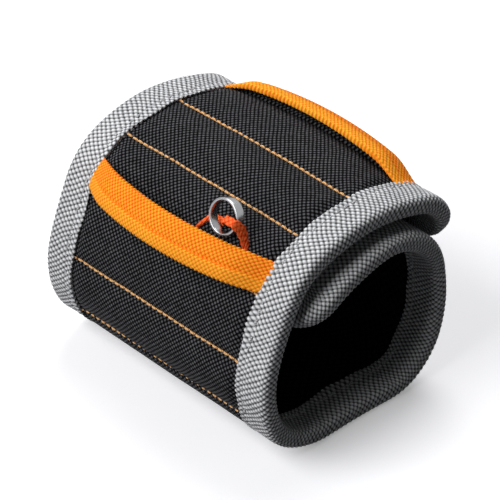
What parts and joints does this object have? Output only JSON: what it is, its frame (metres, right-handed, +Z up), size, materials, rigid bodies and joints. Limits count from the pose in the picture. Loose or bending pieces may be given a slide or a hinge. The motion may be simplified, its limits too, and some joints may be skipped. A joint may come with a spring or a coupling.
{
  "type": "magnetic wristband",
  "caption": "Padded wrist strap closed into a loop by a hook-and-loop flap, with sewn-in magnets, grey edge tape, orange webbing loops and a small steel ring.",
  "frame": {"origin": "middle of the bounding box on the plane the loop stands on", "axes": "+X along the open axis of the loop, +Y towards the back wall and +Z up"},
  "size_m": [0.094, 0.075, 0.0703],
  "materials": {
    "black_nylon_cover": "coarse plain weave, matt",
    "grey_edge_tape": "basket weave tape, matt",
    "orange_webbing": "ribbed webbing",
    "orange_keeper": "narrow braid",
    "foam_padding": "matt foam",
    "black_lining": "knitted mesh, matt",
    "hook_and_loop": "hook and loop pile",
    "magnet_plating": "nickel plated",
    "ring_steel": "bright plated"
  },
  "bodies": {
    "base": {"base_cover": "black_nylon_cover", "base_lining": "black_lining", "base_padding": "foam_padding", "base_tape_far": "grey_edge_tape", "base_tape_near": "grey_edge_tape"},
    "lower": {"lower_cover": "black_nylon_cover", "lower_lining": "black_lining", "lower_magnet_1": "magnet_plating", "lower_magnet_2": "magnet_plating", "lower_magnet_3": "magnet_plating", "lower_padding": "foam_padding", "lower_tape_far": "grey_edge_tape", "lower_tape_near": "grey_edge_tape"},
    "middle": {"middle_cover": "black_nylon_cover", "middle_lining": "black_lining", "middle_magnet_1": "magnet_plating", "middle_magnet_2": "magnet_plating", "middle_magnet_3": "magnet_plating", "middle_padding": "foam_padding", "middle_tape_far": "grey_edge_tape", "middle_tape_near": "grey_edge_tape"},
    "upper": {"upper_cover": "black_nylon_cover", "upper_lining": "black_lining", "upper_magnet_1": "magnet_plating", "upper_magnet_2": "magnet_plating", "upper_magnet_3": "magnet_plating", "upper_padding": "foam_padding", "upper_tape_far": "grey_edge_tape", "upper_tape_near": "grey_edge_tape", "front_webbing_loop": "orange_webbing", "ring_keeper": "orange_keeper"},
    "flap": {"flap_cover": "black_nylon_cover", "flap_lining": "black_lining", "flap_magnet_1": "magnet_plating", "flap_magnet_2": "magnet_plating", "flap_magnet_3": "magnet_plating", "flap_magnet_4": "magnet_plating", "flap_magnet_5": "magnet_plating", "flap_magnet_6": "magnet_plating", "flap_padding": "foam_padding", "flap_tape": "grey_edge_tape", "top_webbing_loop": "orange_webbing", "hook_patch": "hook_and_loop"},
    "back": {"back_cover": "black_nylon_cover", "back_lining": "black_lining", "back_padding": "foam_padding", "tongue_tape": "grey_edge_tape", "loop_patch": "hook_and_loop"},
    "ring": {"ring": "ring_steel"}
  },
  "joints": [
    {"name": "unwrap", "type": "hinge", "parent": "base", "child": "lower", "pos_m": [0, -0.0348, 0.01258], "axis": [1, 0, 0], "range_deg": [0, 60]},
    {"name": "middle_fold", "type": "hinge", "parent": "lower", "child": "middle", "pos_m": [0, -0.03689, 0.03254], "axis": [1, 0, 0], "range_deg": [0, 18]},
    {"name": "upper_fold", "type": "hinge", "parent": "middle", "child": "upper", "pos_m": [0, -0.02968, 0.05133], "axis": [1, 0, 0], "range_deg": [0, 24]},
    {"name": "flap_peel", "type": "hinge", "parent": "upper", "child": "flap", "pos_m": [0, -0.01455, 0.06449], "axis": [1, 0, 0], "range_deg": [0, 75]},
    {"name": "back_lean", "type": "hinge", "parent": "base", "child": "back", "pos_m": [0, 0.03224, 0.01479], "axis": [-1, 0, 0], "range_deg": [0, 36]},
    {"name": "ring_swing", "type": "hinge", "parent": "upper", "child": "ring", "pos_m": [0.01397, -0.02401, 0.06374], "axis": [1, 0, 0], "range_deg": [-4, 8]}
  ],
  "couplings": [
    {"joint": "middle_fold", "follows": "unwrap", "ratio": 0.3},
    {"joint": "upper_fold", "follows": "unwrap", "ratio": 0.4},
    {"joint": "back_lean", "follows": "unwrap", "ratio": 0.6}
  ]
}
